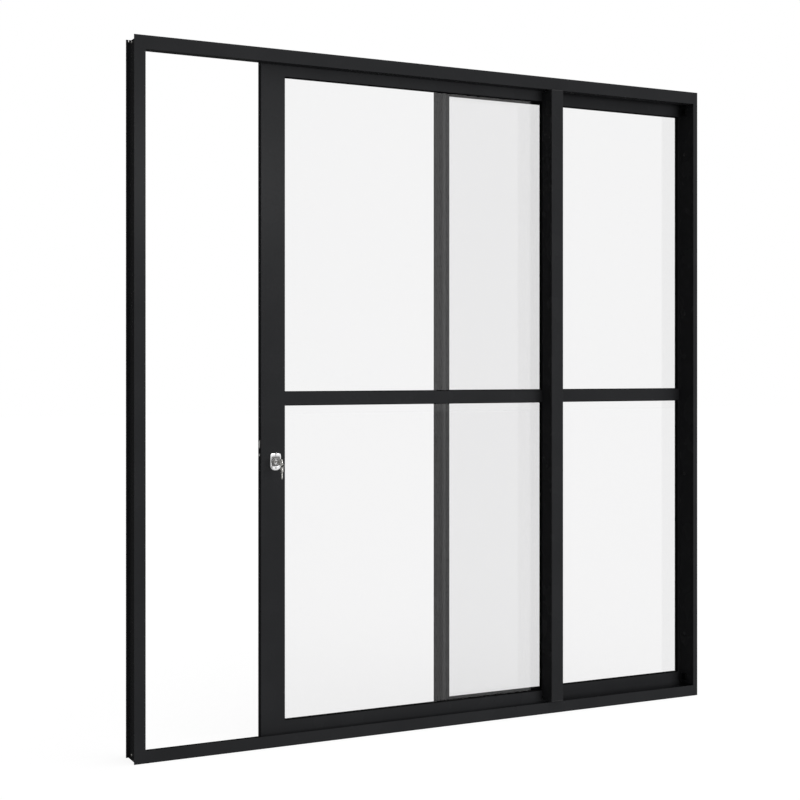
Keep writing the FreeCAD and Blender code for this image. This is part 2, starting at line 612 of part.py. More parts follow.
def key_ring():
    """The ring that hangs from the key and carries the spare key, of flat-sided wire."""
    middle = at(LOCK_PLACE, ring_depth(), ring_height())
    wire = []
    for side in range(RING_WIRE_SIDES + 1):
        turn = math.radians(360 / RING_WIRE_SIDES * (side + 0.5))
        out = RING_RADIUS + RING_WIRE_RADIUS * math.cos(turn)
        wire.append(middle + FreeCAD.Vector(out, RING_WIRE_RADIUS * math.sin(turn), 0))
    return Part.Face(Part.makePolygon(wire)).revolve(middle, FreeCAD.Vector(0, 1, 0), 360)


def spare_key():
    """The spare key, hanging from the ring."""
    slack = KEY_HOLE_RADIUS - RING_WIRE_RADIUS - SEAT_CLEARANCE
    hole = ring_height() - RING_RADIUS - slack
    solid = flat_key(SPARE_BOW_RADIUS, SPARE_LENGTH)
    solid.translate(at(LOCK_PLACE, ring_depth(), hole - SPARE_BOW_RADIUS + KEY_HOLE_EDGE))
    return solid


def faceplate_middle():
    """The height of the faceplate's middle."""
    return LOCK_HEIGHT + FACEPLATE_RISE


def edge_bar(along, rise, thickness, height, gap=0.0):
    """A bar through the lock stile's edge at a rise above the key, or with a gap its opening."""
    half = thickness / 2 + gap
    low, high = LOCK_HEIGHT + rise - height / 2 - gap, LOCK_HEIGHT + rise + height / 2 + gap
    return block(along, (SLIDER_MIDDLE - half, SLIDER_MIDDLE + half), (low, high))


def edge_openings(along):
    """The openings for the hook bolt and for the button."""
    return [edge_bar(along, HOOK_BOLT_RISE, HOOK_BOLT_THICKNESS, HOOK_BOLT_HEIGHT, SEAT_CLEARANCE),
            edge_bar(along, BUTTON_RISE, BUTTON_SIZE, BUTTON_SIZE, SEAT_CLEARANCE)]


def lock_faceplate():
    """The plate in the lock stile's edge, slotted for the hook bolt and the button."""
    middle = faceplate_middle()
    half = FACEPLATE_WIDTH / 2 - SEAT_CLEARANCE
    rise = FACEPLATE_HEIGHT / 2 - SEAT_CLEARANCE
    plate = block((SLIDER_LEFT - FACEPLATE_PROUD, case_start()),
                  (SLIDER_MIDDLE - half, SLIDER_MIDDLE + half), (middle - rise, middle + rise))
    plate = round_edges(plate, lambda e: abs(e.Length - FACEPLATE_THICKNESS) < 0.01,
                        FACEPLATE_CORNER - SEAT_CLEARANCE)
    return plate.cut(edge_openings((SLIDER_LEFT - FACEPLATE_THICKNESS,
                                    SLIDER_LEFT + FACEPLATE_THICKNESS)))


def case_start():
    """Where the lock case begins, against the back of the faceplate."""
    return SLIDER_LEFT - FACEPLATE_PROUD + FACEPLATE_THICKNESS


def lock_case():
    """The lock's case inside the hollow stile, cut for its bolt, its button and the cylinder."""
    middle = faceplate_middle()
    half = PANEL_THICKNESS / 2 - PANEL_WALL - SEAT_CLEARANCE
    body = block((case_start(), case_start() + CASE_DEPTH),
                 (SLIDER_MIDDLE - half, SLIDER_MIDDLE + half),
                 (middle - CASE_HEIGHT / 2, middle + CASE_HEIGHT / 2))
    reach = CYLINDER_RADIUS + SEAT_CLEARANCE
    bore = block((LOCK_PLACE - reach, LOCK_PLACE + reach), (SLIDER_FRONT, SLIDER_BACK),
                 (LOCK_HEIGHT - reach, LOCK_HEIGHT + reach))
    return body.cut(edge_openings((case_start() - 1, case_start() + CASE_SLOT_DEPTH)) + [bore])


def drawn_back():
    """From where the hook bolt and the button show in the faceplate to their ends in the case."""
    return SLIDER_LEFT - 2 * FACEPLATE_PROUD, case_start() + CASE_SLOT_DEPTH - SEAT_CLEARANCE


def hook_bolt():
    """The hook bolt, drawn back so that only its nose shows in the faceplate."""
    solid = edge_bar(drawn_back(), HOOK_BOLT_RISE, HOOK_BOLT_THICKNESS, HOOK_BOLT_HEIGHT)
    return round_edges(solid, lambda e: abs(e.Length - HOOK_BOLT_THICKNESS) < 0.01
                       and e.BoundBox.XMax < at(SLIDER_LEFT, 0, 0).x
                       and e.BoundBox.ZMin > LOCK_HEIGHT + HOOK_BOLT_RISE, HOOK_BOLT_ROUND)


def slam_button():
    """The small button that keeps the hook in until the door meets its frame."""
    return edge_bar(drawn_back(), BUTTON_RISE, BUTTON_SIZE, BUTTON_SIZE)


def strike_plate():
    """The keeper on the left jamb's web, with a slot for the hook bolt."""
    middle = faceplate_middle()
    plate = block((LEFT_WEB, LEFT_WEB + STRIKE_THICKNESS),
                  (SLIDER_MIDDLE - STRIKE_WIDTH / 2, SLIDER_MIDDLE + STRIKE_WIDTH / 2),
                  (middle - STRIKE_HEIGHT / 2, middle + STRIKE_HEIGHT / 2))
    slot = edge_bar((LEFT_WEB - 1, LEFT_WEB + STRIKE_THICKNESS + 1), HOOK_BOLT_RISE,
                    HOOK_BOLT_THICKNESS + 2 * STRIKE_SLOT_GAP, STRIKE_SLOT_HEIGHT)
    return plate.cut(slot)


def stop_buffer(height):
    """A rubber buffer on the right jamb's box that stops the open panel."""
    return block((RIGHT_INNER - BUFFER_THICKNESS, RIGHT_INNER),
                 (SLIDER_MIDDLE - BUFFER_SIZE / 2, SLIDER_MIDDLE + BUFFER_SIZE / 2),
                 (height - BUFFER_SIZE / 2, height + BUFFER_SIZE / 2))


def pile_seals():
    """Pile seals between the frame's front box and the sliding panel, and on the fixed hook."""
    gap = (FRONT_BOX_DEPTH, SLIDER_FRONT - SEAT_CLEARANCE)
    head_seal = block((LEFT_FACE, RIGHT_INNER), gap, (SOFFIT + FRAME_WALL,
                                                      SOFFIT + FRAME_WALL + SEAL_HEIGHT))
    jamb_seal = block((LEFT_FACE - FRAME_WALL - SEAL_HEIGHT, LEFT_FACE - FRAME_WALL), gap,
                      (SILL_FACE, SOFFIT))
    hook_start = HOOK_PLACE + HOOK_SEAL_INSET
    hook_seal = block((hook_start, hook_start + HOOK_SEAL_WIDTH),
                      (SLIDER_BACK + SEAT_CLEARANCE, HOOK_FRONT), (NOSE_BOTTOM, NOSE_TOP))
    return head_seal, jamb_seal, hook_seal


def main():
    """Build and write every piece."""
    os.makedirs("parts", exist_ok=True)
    write("head_track", head())
    write("sill_track", sill())
    write("left_jamb", jamb(0, LEFT_FACE, 1, True))
    write("right_jamb", jamb(FRAME_WIDTH, RIGHT_FACE, -1, False))
    write("strike_plate", strike_plate())
    write("lower_stop_buffer", stop_buffer(SILL_FACE + BUFFER_SIZE))
    write("upper_stop_buffer", stop_buffer(SOFFIT - BUFFER_SIZE))
    for place, seal in zip(("head", "jamb", "interlock"), pile_seals()):
        write(f"{place}_pile_seal", seal)

    write("fixed_interlock_stile", interlock_stile())
    write("fixed_jamb_stile", fixed_jamb_stile())
    write("lock_stile", lock_stile())
    write("meeting_stile", meeting_stile())
    panels = (
        ("fixed", FIXED_FRONT, SILL_FLOOR, FIXED_TOP, INTERLOCK_LEFT + INTERLOCK_STILE_WIDTH,
         RIGHT_WEB - JAMB_STILE_WIDTH),
        ("sliding", SLIDER_FRONT, SLIDER_BOTTOM, SLIDER_TOP, SLIDER_LEFT + LOCK_STILE_WIDTH,
         SLIDER_RIGHT - MEETING_STILE_WIDTH),
    )
    panes = (("lower", DAYLIGHT_BOTTOM, MID_RAIL_BOTTOM), ("upper", MID_RAIL_TOP, DAYLIGHT_TOP))
    for name, front, bottom, top, left, right in panels:
        for place, shape in zip(("top", "mid", "bottom"), rails(front, bottom, top, left, right)):
            write(f"{name}_{place}_rail", shape)
        for place, low, high in panes:
            write(f"{name}_{place}_glass", pane(front, left, right, low, high))
            write(f"{name}_{place}_gasket", gaskets(front, left, right, low, high))

    carriages = (("left", SLIDER_LEFT + CARRIAGE_INSET), ("right", SLIDER_RIGHT - CARRIAGE_INSET))
    for side, middle in carriages:
        write(f"{side}_roller_carriage", roller_carriage(middle))
        write(f"{side}_roller", roller_wheel(middle))
        write(f"{side}_top_guide", top_guide(middle))
    write("nose_top_cap", nose_cap(NOSE_TOP))
    write("nose_bottom_cap", nose_cap(NOSE_BOTTOM - CAP_THICKNESS))

    write("lock_case", lock_case())
    write("lock_faceplate", lock_faceplate())
    write("hook_bolt", hook_bolt())
    write("slam_button", slam_button())
    write("front_escutcheon", escutcheon(SLIDER_FRONT, -1))
    write("rear_escutcheon", escutcheon(SLIDER_BACK, 1))
    write("lock_cylinder", lock_cylinder())
    write("cylinder_plug", cylinder_plug())
    write("key", inserted_key())
    write("key_ring", key_ring())
    write("spare_key", spare_key())


main()
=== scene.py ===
import bpy, bmesh, json, math
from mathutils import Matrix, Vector

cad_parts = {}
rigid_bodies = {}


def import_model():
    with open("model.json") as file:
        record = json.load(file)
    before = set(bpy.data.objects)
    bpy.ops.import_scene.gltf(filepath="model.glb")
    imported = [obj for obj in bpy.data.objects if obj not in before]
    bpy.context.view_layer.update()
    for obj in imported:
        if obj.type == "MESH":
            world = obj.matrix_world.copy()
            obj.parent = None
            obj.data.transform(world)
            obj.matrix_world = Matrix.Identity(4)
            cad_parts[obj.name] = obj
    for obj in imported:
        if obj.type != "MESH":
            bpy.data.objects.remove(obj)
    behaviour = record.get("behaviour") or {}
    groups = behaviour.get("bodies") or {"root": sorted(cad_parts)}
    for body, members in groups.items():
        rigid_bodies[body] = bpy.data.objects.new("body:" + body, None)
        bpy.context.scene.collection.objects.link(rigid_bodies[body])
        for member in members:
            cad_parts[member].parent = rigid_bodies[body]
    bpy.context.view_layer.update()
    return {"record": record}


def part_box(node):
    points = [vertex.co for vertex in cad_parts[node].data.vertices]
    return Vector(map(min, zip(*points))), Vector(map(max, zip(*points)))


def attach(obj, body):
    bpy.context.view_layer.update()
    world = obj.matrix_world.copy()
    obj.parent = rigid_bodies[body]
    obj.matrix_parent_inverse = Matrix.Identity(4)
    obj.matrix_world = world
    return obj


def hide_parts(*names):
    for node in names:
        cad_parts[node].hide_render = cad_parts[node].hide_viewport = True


# A two-panel glass sliding patio door in satin black aluminium, with a chrome lock and its keys.
# X runs along the door, Y from the front to the back, Z up, all in metres.

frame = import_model()

NEAR = 1e-5     # a point this near a face lies in it
PAST = 0.01     # how far a cutting shape reaches past the piece that it cuts


def start_material(name):
    """A new node material, its tree of nodes and its main shader."""
    material = bpy.data.materials.new(name)
    material.use_nodes = True
    tree = material.node_tree
    return material, tree, tree.nodes["Principled BSDF"]


def add_noise(tree, scale, detail, stretch=(1, 1, 1)):
    """Noise in the object's own coordinates, stretched along an axis if asked."""
    coordinates = tree.nodes.new("ShaderNodeTexCoord")
    mapping = tree.nodes.new("ShaderNodeMapping")
    mapping.inputs["Scale"].default_value = stretch
    noise = tree.nodes.new("ShaderNodeTexNoise")
    noise.inputs["Scale"].default_value = scale
    noise.inputs["Detail"].default_value = detail
    tree.links.new(coordinates.outputs["Object"], mapping.inputs["Vector"])
    tree.links.new(mapping.outputs["Vector"], noise.inputs["Vector"])
    return noise.outputs["Fac"]


def add_ramp(tree, value, start, end):
    """A colour that changes with a value, between two pairs of a place and a colour."""
    ramp = tree.nodes.new("ShaderNodeValToRGB")
    for element, (place, colour) in zip(ramp.color_ramp.elements, (start, end)):
        element.position = place
        element.color = (*colour, 1)
    tree.links.new(value, ramp.inputs["Fac"])
    return ramp.outputs["Color"]


def add_range(tree, value, low, high):
    """A value from nothing to one, spread over a range."""
    spread = tree.nodes.new("ShaderNodeMapRange")
    spread.inputs["To Min"].default_value = low
    spread.inputs["To Max"].default_value = high
    tree.links.new(value, spread.inputs["Value"])
    return spread.outputs["Result"]


def add_bump(tree, shader, height, strength, distance, soft_edge=0.0):
    """Bump from a height, over softened edges where asked."""
    bump = tree.nodes.new("ShaderNodeBump")
    bump.inputs["Strength"].default_value = strength
    bump.inputs["Distance"].default_value = distance
    tree.links.new(height, bump.inputs["Height"])
    if soft_edge:
        edge = tree.nodes.new("ShaderNodeBevel")
        edge.samples = 4
        edge.inputs["Radius"].default_value = soft_edge
        tree.links.new(edge.outputs["Normal"], bump.inputs["Normal"])
    tree.links.new(bump.outputs["Normal"], shader.inputs["Normal"])


def powder_coat():
    """Satin black powder coat: a fine orange peel, slightly uneven in tone and gloss."""
    material, tree, shader = start_material("satin_black_powder_coat")
    cloud = add_noise(tree, scale=9.0, detail=4.0)
    tone = add_ramp(tree, cloud, (0.3, (0.0166, 0.017, 0.0181)), (0.7, (0.0192, 0.0196, 0.0208)))
    tree.links.new(tone, shader.inputs["Base Color"])
    peel = add_noise(tree, scale=1400.0, detail=2.0)
    tree.links.new(add_range(tree, cloud, 0.24, 0.3), shader.inputs["Roughness"])
    shader.inputs["Specular IOR Level"].default_value = 0.04
    add_bump(tree, shader, peel, strength=0.1, distance=0.0003, soft_edge=0.0005)
    return material


def clear_glass():
    """Clear float glass."""
    material, tree, shader = start_material("clear_float_glass")
    shader.inputs["Base Color"].default_value = (0.918, 0.917, 0.92, 1)
    shader.inputs["Roughness"].default_value = 0.0
    shader.inputs["IOR"].default_value = 1.52
    shader.inputs["Transmission Weight"].default_value = 1.0
    return material


def black_rubber():
    """Matt extruded rubber, slightly dusty and finely grained."""
    material, tree, shader = start_material("black_gasket_rubber")
    dust = add_noise(tree, scale=60.0, detail=3.0)
    tone = add_ramp(tree, dust, (0.35, (0.0015, 0.0015, 0.0016)), (0.75, (0.0032, 0.0032, 0.0034)))
    tree.links.new(tone, shader.inputs["Base Color"])
    shader.inputs["Roughness"].default_value = 0.7
    shader.inputs["Specular IOR Level"].default_value = 0.1
    grain = add_noise(tree, scale=900.0, detail=2.0)
    add_bump(tree, shader, grain, strength=0.2, distance=0.0003)
    return material


def woven_pile():
    """The dense short pile of a draught strip."""
    material, tree, shader = start_material("draught_strip_pile")
    tuft = add_noise(tree, scale=1800.0, detail=2.0)
    tone = add_ramp(tree, tuft, (0.3, (0.03, 0.03, 0.031)), (0.7, (0.1, 0.1, 0.102)))
    tree.links.new(tone, shader.inputs["Base Color"])
    shader.inputs["Roughness"].default_value = 0.95
    shader.inputs["Sheen Weight"].default_value = 0.3
    add_bump(tree, shader, tuft, strength=0.8, distance=0.001)
    return material


def plated_metal(name, colour, smooth, rough):
    """Plated metal with faint wiping marks, between two roughnesses."""
    material, tree, shader = start_material(name)
    shader.inputs["Base Color"].default_value = (*colour, 1)
    shader.inputs["Metallic"].default_value = 1.0
    marks = add_noise(tree, scale=220.0, detail=4.0, stretch=(1, 1, 0.25))
    tree.links.new(add_range(tree, marks, smooth, rough), shader.inputs["Roughness"])
    add_bump(tree, shader, marks, strength=0.05, distance=0.0002, soft_edge=0.0003)
    return material


def moulded_plastic(name, dark, light, rough):
    """Moulded plastic with a fine spark-eroded grain."""
    material, tree, shader = start_material(name)
    cloud = add_noise(tree, scale=40.0, detail=3.0)
    tree.links.new(add_ramp(tree, cloud, (0.3, dark), (0.7, light)), shader.inputs["Base Color"])
    shader.inputs["Roughness"].default_value = rough
    shader.inputs["Specular IOR Level"].default_value = 0.35
    grain = add_noise(tree, scale=1500.0, detail=2.0)
    add_bump(tree, shader, grain, strength=0.15, distance=0.0003, soft_edge=0.0004)
    return material


finishes = {
    "black_aluminium": powder_coat(),
    "clear_glass": clear_glass(),
    "black_rubber": black_rubber(),
    "pile": woven_pile(),
    "chrome": plated_metal("bright_chrome_plate", (0.82, 0.82, 0.83), 0.06, 0.14),
    "steel": plated_metal("nickel_plated_steel", (0.66, 0.65, 0.62), 0.2, 0.34),
    "black_plastic": moulded_plastic("black_moulded_nylon", dark=(0.009, 0.009, 0.01),
                                     light=(0.013, 0.013, 0.014), rough=0.5),
    "wheel_plastic": moulded_plastic("pale_acetal", dark=(0.5, 0.49, 0.46),
                                     light=(0.58, 0.57, 0.54), rough=0.4),
}

# Two more metals: the bolt and button are dull zinc, and the cylinder's collar and guards satin.
cast_zinc = plated_metal("plated_cast_zinc", (0.33, 0.327, 0.323), 0.7, 0.8)
satin_nickel = plated_metal("satin_nickel", (0.27, 0.268, 0.266), 0.26, 0.36)

for subpart in frame["record"]["subparts"]:
    node = bpy.data.objects[subpart["node"]]
    node.data.materials.clear()
    node.data.materials.append(finishes[subpart["material_slot"]])


def place_piece(name):
    """Name the new piece and put its place into its mesh."""
    piece = bpy.context.object
    piece.name = name
    bpy.ops.object.transform_apply(location=True, rotation=True, scale=True)
    return piece


def add_block(name, low, high):
    """A block between two corners, ready to be shaped."""
    bpy.ops.object.select_all(action="DESELECT")
    low, high = Vector(low), Vector(high)
    bpy.ops.mesh.primitive_cube_add(size=1, location=(low + high) / 2, scale=high - low)
    return place_piece(name)


def add_bar(name, start, end, radius, sides):
    """A round or many-sided bar between two points, ready to be shaped."""
    bpy.ops.object.select_all(action="DESELECT")
    start, end = Vector(start), Vector(end)
    turn = (end - start).to_track_quat("Z", "Y").to_euler()
    bpy.ops.mesh.primitive_cylinder_add(vertices=sides, radius=radius, depth=(end - start).length,
                                        location=(start + end) / 2, rotation=turn)
    return place_piece(name)


def make_active(piece):
    """Select one piece alone."""
    bpy.ops.object.select_all(action="DESELECT")
    piece.select_set(True)
    bpy.context.view_layer.objects.active = piece


def pick(piece, kind, test):
    """Go into edit mode with only the faces or edges that pass a test selected."""
    make_active(piece)
    bpy.ops.object.mode_set(mode="EDIT")
    bpy.ops.mesh.select_mode(type=kind)
    bpy.ops.mesh.select_all(action="DESELECT")
    mesh = bmesh.from_edit_mesh(piece.data)
    for part in (mesh.faces if kind == "FACE" else mesh.edges):
        if test(part):
            part.select_set(True)
    bmesh.update_edit_mesh(piece.data)


def pick_all(piece):
    """Go into edit mode with the whole mesh selected."""
    make_active(piece)
    bpy.ops.object.mode_set(mode="EDIT")
    bpy.ops.mesh.select_mode(type="EDGE")
    bpy.ops.mesh.select_all(action="SELECT")


def leave_edit():
    """Back to object mode."""
    bpy.ops.object.mode_set(mode="OBJECT")


def faces_toward(direction, over=0.0):
    """A test for faces that point in one direction and have more than an area."""
    direction = Vector(direction)
    return lambda face: face.normal.dot(direction) > 0.98 and face.calc_area() > over


def edges_along(direction, at=None):
    """A test for edges that run in one direction, and whose middle passes a second test."""
    direction = Vector(direction)

    def test(edge):
        run = (edge.verts[1].co - edge.verts[0].co).normalized()
        middle = (edge.verts[0].co + edge.verts[1].co) / 2
        return abs(run.dot(direction)) > 0.999 and (at is None or at(middle))
    return test


def sharp_edges(edge):
    """Edges where two faces meet at more than about 40 degrees."""
    return len(edge.link_faces) == 2 and edge.calc_face_angle() > 0.7


def edges_within(place, sharp=False):
    """A test for edges with both ends in a place, or for the sharp ones among them."""
    return lambda edge: ((not sharp or sharp_edges(edge))
                         and all(place(end.co) for end in edge.verts))


def round_off(piece, test, radius, segments):
    """Round the edges that pass a test."""
    pick(piece, "EDGE", test)
    bpy.ops.mesh.bevel(offset=radius, segments=segments, affect="EDGES", clamp_overlap=True)
    leave_edit()


def press_in(piece, test, border, depth):
    """Sink the faces that pass a test, inside a border."""
    pick(piece, "FACE", test)
    bpy.ops.mesh.inset(thickness=border, depth=-depth)
    leave_edit()


def discard(piece):
    """Take a cutting shape, or a pattern that has been copied, out of the scene."""
    bpy.data.objects.remove(piece, do_unlink=True)


def combine(piece, other, operation):
    """Join another shape to a piece or cut it away, and delete the other shape."""
    make_active(piece)
    step = piece.modifiers.new(operation.lower(), "BOOLEAN")
    step.operation, step.solver, step.object = operation, "EXACT", other
    bpy.ops.object.modifier_apply(modifier=step.name)
    discard(other)


def copy_piece(piece, name, move, turn=(0, 0, 0), flip=(1, 1, 1)):
    """A copy with a mesh of its own, turned or flipped about the origin and then moved."""
    make_active(piece)
    bpy.ops.object.duplicate(linked=False)
    twin = bpy.context.object
    twin.location, twin.rotation_euler, twin.scale = move, turn, flip
    return place_piece(name)


def fasten(piece, body, slot, *nodes, coat=None):
    """Clean a finished piece, give it its finish and let it ride on its body."""
    pick_all(piece)
    bpy.ops.mesh.remove_doubles(threshold=1e-6)
    bpy.ops.mesh.normals_make_consistent(inside=False)
    leave_edit()
    bpy.ops.object.shade_smooth_by_angle(angle=math.radians(38))
    piece.data.materials.clear()
    piece.data.materials.append(coat or finishes[slot])
    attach(piece, body)
    if nodes:
        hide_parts(*nodes)


def middle_of(node):
    """The middle of a node's box."""
    low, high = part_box(node)
    return (Vector(low) + Vector(high)) / 2


def screw_head(name, radius, height):
    """A domed screw head with a cross recess, its seat at the origin and its top towards -X."""
    head = add_bar(name, (0, 0, 0), (-height, 0, 0), radius, sides=32)
    round_off(head, edges_within(lambda p: p.x < -height * 0.5), height * 0.6, segments=4)
    slit, arm = 0.00045, radius * 0.62
    for half_wide, half_high in ((slit, arm), (arm, slit)):
        cross = add_block("cross_recess", (-height - 0.001, -half_wide, -half_high),
                          (-height * 0.35, half_wide, half_high))
        combine(head, cross, "DIFFERENCE")
    return head


def frame_screws_and_plugs():
    """The screws that hold the frame's corners, and the plugs in its fixing holes."""
    low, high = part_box("left_jamb")
    web, track = low[0] + 0.007, middle_of("lock_stile").y
    foot_row, top_row = 0.016, high[2] - 0.013
    head = screw_head("corner_screw", radius=0.0042, height=0.0022)
    for height, place in ((foot_row, "foot"), (top_row, "top")):
        for side, name in ((1, "left"), (-1, "right")):
            screw = copy_piece(head, f"{name}_{place}_corner_screw", (side * web, track, height),
                               flip=(side, 1, 1))
            fasten(screw, "frame", "steel")
    discard(head)

    thick, radius, shoulder, stem = 0.0016, 0.0062, 0.0024, 0.0019
    plug = add_bar("fixing_plug", (0, 0, 0), (thick, 0, 0), radius, sides=32)
    round_off(plug, edges_within(lambda p: p.x > 0.001), radius=0.0011, segments=4)
    pick(plug, "FACE", faces_toward((-1, 0, 0)))
    bpy.ops.mesh.inset(thickness=shoulder, depth=0)
    bpy.ops.mesh.extrude_region_move(TRANSFORM_OT_translate={"value": (-stem, 0, 0)})
    leave_edit()
    press_in(plug, faces_toward((1, 0, 0)), border=0.0012, depth=0.0003)
    left_seat, right_seat = web + 0.002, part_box("right_jamb")[0][0]
    spacing = 0.56
    for number in range(4):
        height = high[2] / 2 + (number - 1.5) * spacing
        for side, name, seat in ((1, "left", left_seat), (-1, "right", right_seat)):
            fitted = copy_piece(plug, f"{name}_fixing_plug_{number + 1}", (seat, track, height),
                                flip=(side, 1, 1))
            fasten(fitted, "frame", "black_plastic")
    discard(plug)


def lock_covers():
    """The chrome covers of the lock, each with a sunk satin guard round the cylinder's bore."""
    low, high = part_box("front_escutcheon")
    middle = middle_of("front_escutcheon")

    def on_front(point):
        return point.y < low[1] + NEAR

    cover = add_block("lock_cover", low, high)
    for above, radius, segments in ((True, 0.008, 8), (False, 0.016, 14)):
        round_off(cover, edges_along((0, 1, 0), lambda p: (p.z > middle.z) == above),
                  radius, segments)
    round_off(cover, edges_within(on_front), radius=0.0024, segments=6)

    half, above, sunk = 0.0132, 0.0152, 0.0018
    inner = []
    for name, front, back in (("pocket", low[1] - PAST, high[1] + PAST),
                              ("front_cylinder_guard", low[1] + sunk, high[1])):
        shape = add_block(name, (middle.x - half, front, middle.z - half),
                          (middle.x + half, back, middle.z + above))
        round_off(shape, edges_along((0, 1, 0)), radius=0.003, segments=5)
        inner.append(shape)
    pocket, guard = inner
    combine(cover, pocket, "DIFFERENCE")
    round_off(cover, edges_within(on_front, sharp=True), radius=0.0006, segments=3)

    parting = add_bar("parting_groove", (middle.x, low[1], middle.z + 0.0142),
                      (middle.x, low[1], high[2] + 0.002), radius=0.0011, sides=4)
    combine(cover, parting, "DIFFERENCE")
    seat, foot = 0.0012, middle.z - 0.0188
    countersink = add_bar("countersink", (middle.x, low[1] - PAST, foot),
                          (middle.x, low[1] + seat, foot), radius=0.0029, sides=32)
    combine(cover, countersink, "DIFFERENCE")
    bore = add_bar("cylinder_bore", (middle.x, low[1] - PAST, middle.z),
                   (middle.x, high[1] + PAST, middle.z), radius=0.0123, sides=56)
    combine(guard, bore, "DIFFERENCE")

    between = low[1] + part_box("rear_escutcheon")[1][1]
    rear = copy_piece(cover, "rear_lock_cover", (0, between, 0), flip=(1, -1, 1))
    rear_guard = copy_piece(guard, "rear_cylinder_guard", (0, between, 0), flip=(1, -1, 1))
    cover.name = "front_lock_cover"
    fasten(cover, "sliding_panel", "chrome", "front_escutcheon")
    fasten(rear, "sliding_panel", "chrome", "rear_escutcheon")
    for plate in (guard, rear_guard):
        fasten(plate, "sliding_panel", "chrome", coat=satin_nickel)

    head = screw_head("cover_screw", radius=0.0025, height=0.0011)
    for name, face, turn in (("front", low[1] + seat, 90), ("rear", between - low[1] - seat, -90)):
        screw = copy_piece(head, f"{name}_cover_screw", (middle.x, face, foot),
                           turn=(0, 0, math.radians(turn)))
        fasten(screw, "sliding_panel", "steel")
    discard(head)


def lock_barrel():
    """The cylinder's collar with softened rims, and the turning plug with its rim and keyway."""
    low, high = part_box("lock_cylinder")
    face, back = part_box("cylinder_plug")
    middle = middle_of("cylinder_plug")
    radius = (back[0] - face[0]) / 2
    slack, clear = 0.0002, 0.0003
    collar = add_bar("lock_collar", (middle.x, low[1], middle.z), (middle.x, high[1], middle.z),
                     (high[0] - low[0]) / 2, sides=64)
    bore = add_bar("plug_bore", (middle.x, low[1] - PAST, middle.z),
                   (middle.x, back[1] + clear, middle.z), radius + slack, sides=64)
    combine(collar, bore, "DIFFERENCE")
    round_off(collar, edges_within(lambda p: p.y < low[1] + NEAR or p.y > high[1] - NEAR,
                                   sharp=True), radius=0.0008, segments=3)
    fasten(collar, "sliding_panel", "chrome", "lock_cylinder", coat=satin_nickel)

    plug = add_bar("turning_plug", (middle.x, back[1], middle.z), (middle.x, face[1], middle.z),
                   radius, sides=56)
    round_off(plug, edges_within(lambda p: p.y < face[1] + NEAR), radius=0.0011, segments=4)
    press_in(plug, faces_toward((0, -1, 0)), border=0.001, depth=0.0006)
    half_wide, half_high = 0.00125, 0.0043
    keyway = add_block("keyway", (middle.x - half_wide, face[1] - PAST, middle.z - half_high),
                       (middle.x + half_wide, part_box("key")[1][1] + clear, middle.z + half_high))
    combine(plug, keyway, "DIFFERENCE")
    fasten(plug, "key", "chrome", "cylinder_plug")


def flat_key(name, bow, length):
    """A flat key with its round bow at the origin and its notched tip down."""
    half_thick, half_wide = 0.0011, 0.004
    tip, through = bow - length, 0.004
    key = add_bar(name, (-half_thick, 0, 0), (half_thick, 0, 0), bow, sides=48)
    round_off(key, sharp_edges, radius=0.0004, segments=2)
    for side in (1, -1):
        press_in(key, faces_toward((side, 0, 0)), border=0.0022, depth=0.0003)
    blade = add_block("blade", (-half_thick, -half_wide, tip + half_wide),
                      (half_thick, half_wide, -bow * 0.75))
    pick(blade, "FACE", faces_toward((0, 0, -1)))
    bpy.ops.mesh.extrude_region_move(TRANSFORM_OT_translate={"value": (0, 0, -half_wide)})
    bpy.ops.transform.resize(value=(0.8, 0.12, 1))
    leave_edit()
    combine(key, blade, "UNION")
    for side in (1, -1):
        inner, outer = sorted((side * half_thick * 0.55, side * half_thick * 1.4))
        groove = add_block("milled_groove", (inner, -0.0012, tip + 0.002),
                           (outer, 0.0006, -bow - 0.001))
        combine(key, groove, "DIFFERENCE")
    pitch, depths = 0.004, (0.0016, 0.0009, 0.0018, 0.0012)
    for number, depth in enumerate(depths):
        height = tip + half_wide + pitch * (len(depths) - number)
        notch = add_bar("notch", (-through, half_wide, height), (through, half_wide, height),
                        depth, sides=4)
        combine(key, notch, "DIFFERENCE")
    hole = bow - 0.006
    eye = add_bar("eye", (-through, 0, hole), (through, 0, hole), radius=0.003, sides=32)
    combine(key, eye, "DIFFERENCE")
    return key


def keys_and_ring():
    """The key in the lock, the split ring and the spare key that hangs from it."""
    low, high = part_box("key")
    lock = middle_of("key")
    bow = (high[2] - low[2]) / 2
    blank = flat_key("key_blank", bow, high[1] - low[1])
    key = copy_piece(blank, "door_key", (lock.x, low[1] + bow, lock.z), (math.radians(90), 0, 0))
    discard(blank)
    fasten(key, "key", "steel", "key")

    low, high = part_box("spare_key")
    hang = middle_of("spare_key")
    bow = (high[1] - low[1]) / 2
    blank = flat_key("key_blank", bow, high[2] - low[2])
    spare = copy_piece(blank, "hanging_key", (hang.x, hang.y, high[2] - bow))
    discard(blank)
    fasten(spare, "key", "steel", "spare_key")

    middle = middle_of("key_ring")
    aside = Vector((0, 0.0005, 0))
    bpy.ops.object.select_all(action="DESELECT")
    bpy.ops.mesh.primitive_torus_add(major_segments=64, minor_segments=12, major_radius=0.007,
                                     minor_radius=0.0006, rotation=(math.radians(90), 0, 0))
    coil = place_piece("ring_coil")
    pick_all(coil)
    bpy.ops.transform.resize(value=(1, 0.8, 1))
    leave_edit()
    ring = copy_piece(coil, "split_ring", middle + aside)
    second = copy_piece(coil, "second_coil", middle - aside)
    discard(coil)
    make_active(ring)
    second.select_set(True)
    bpy.ops.object.join()
    fasten(ring, "key", "steel", "key_ring")


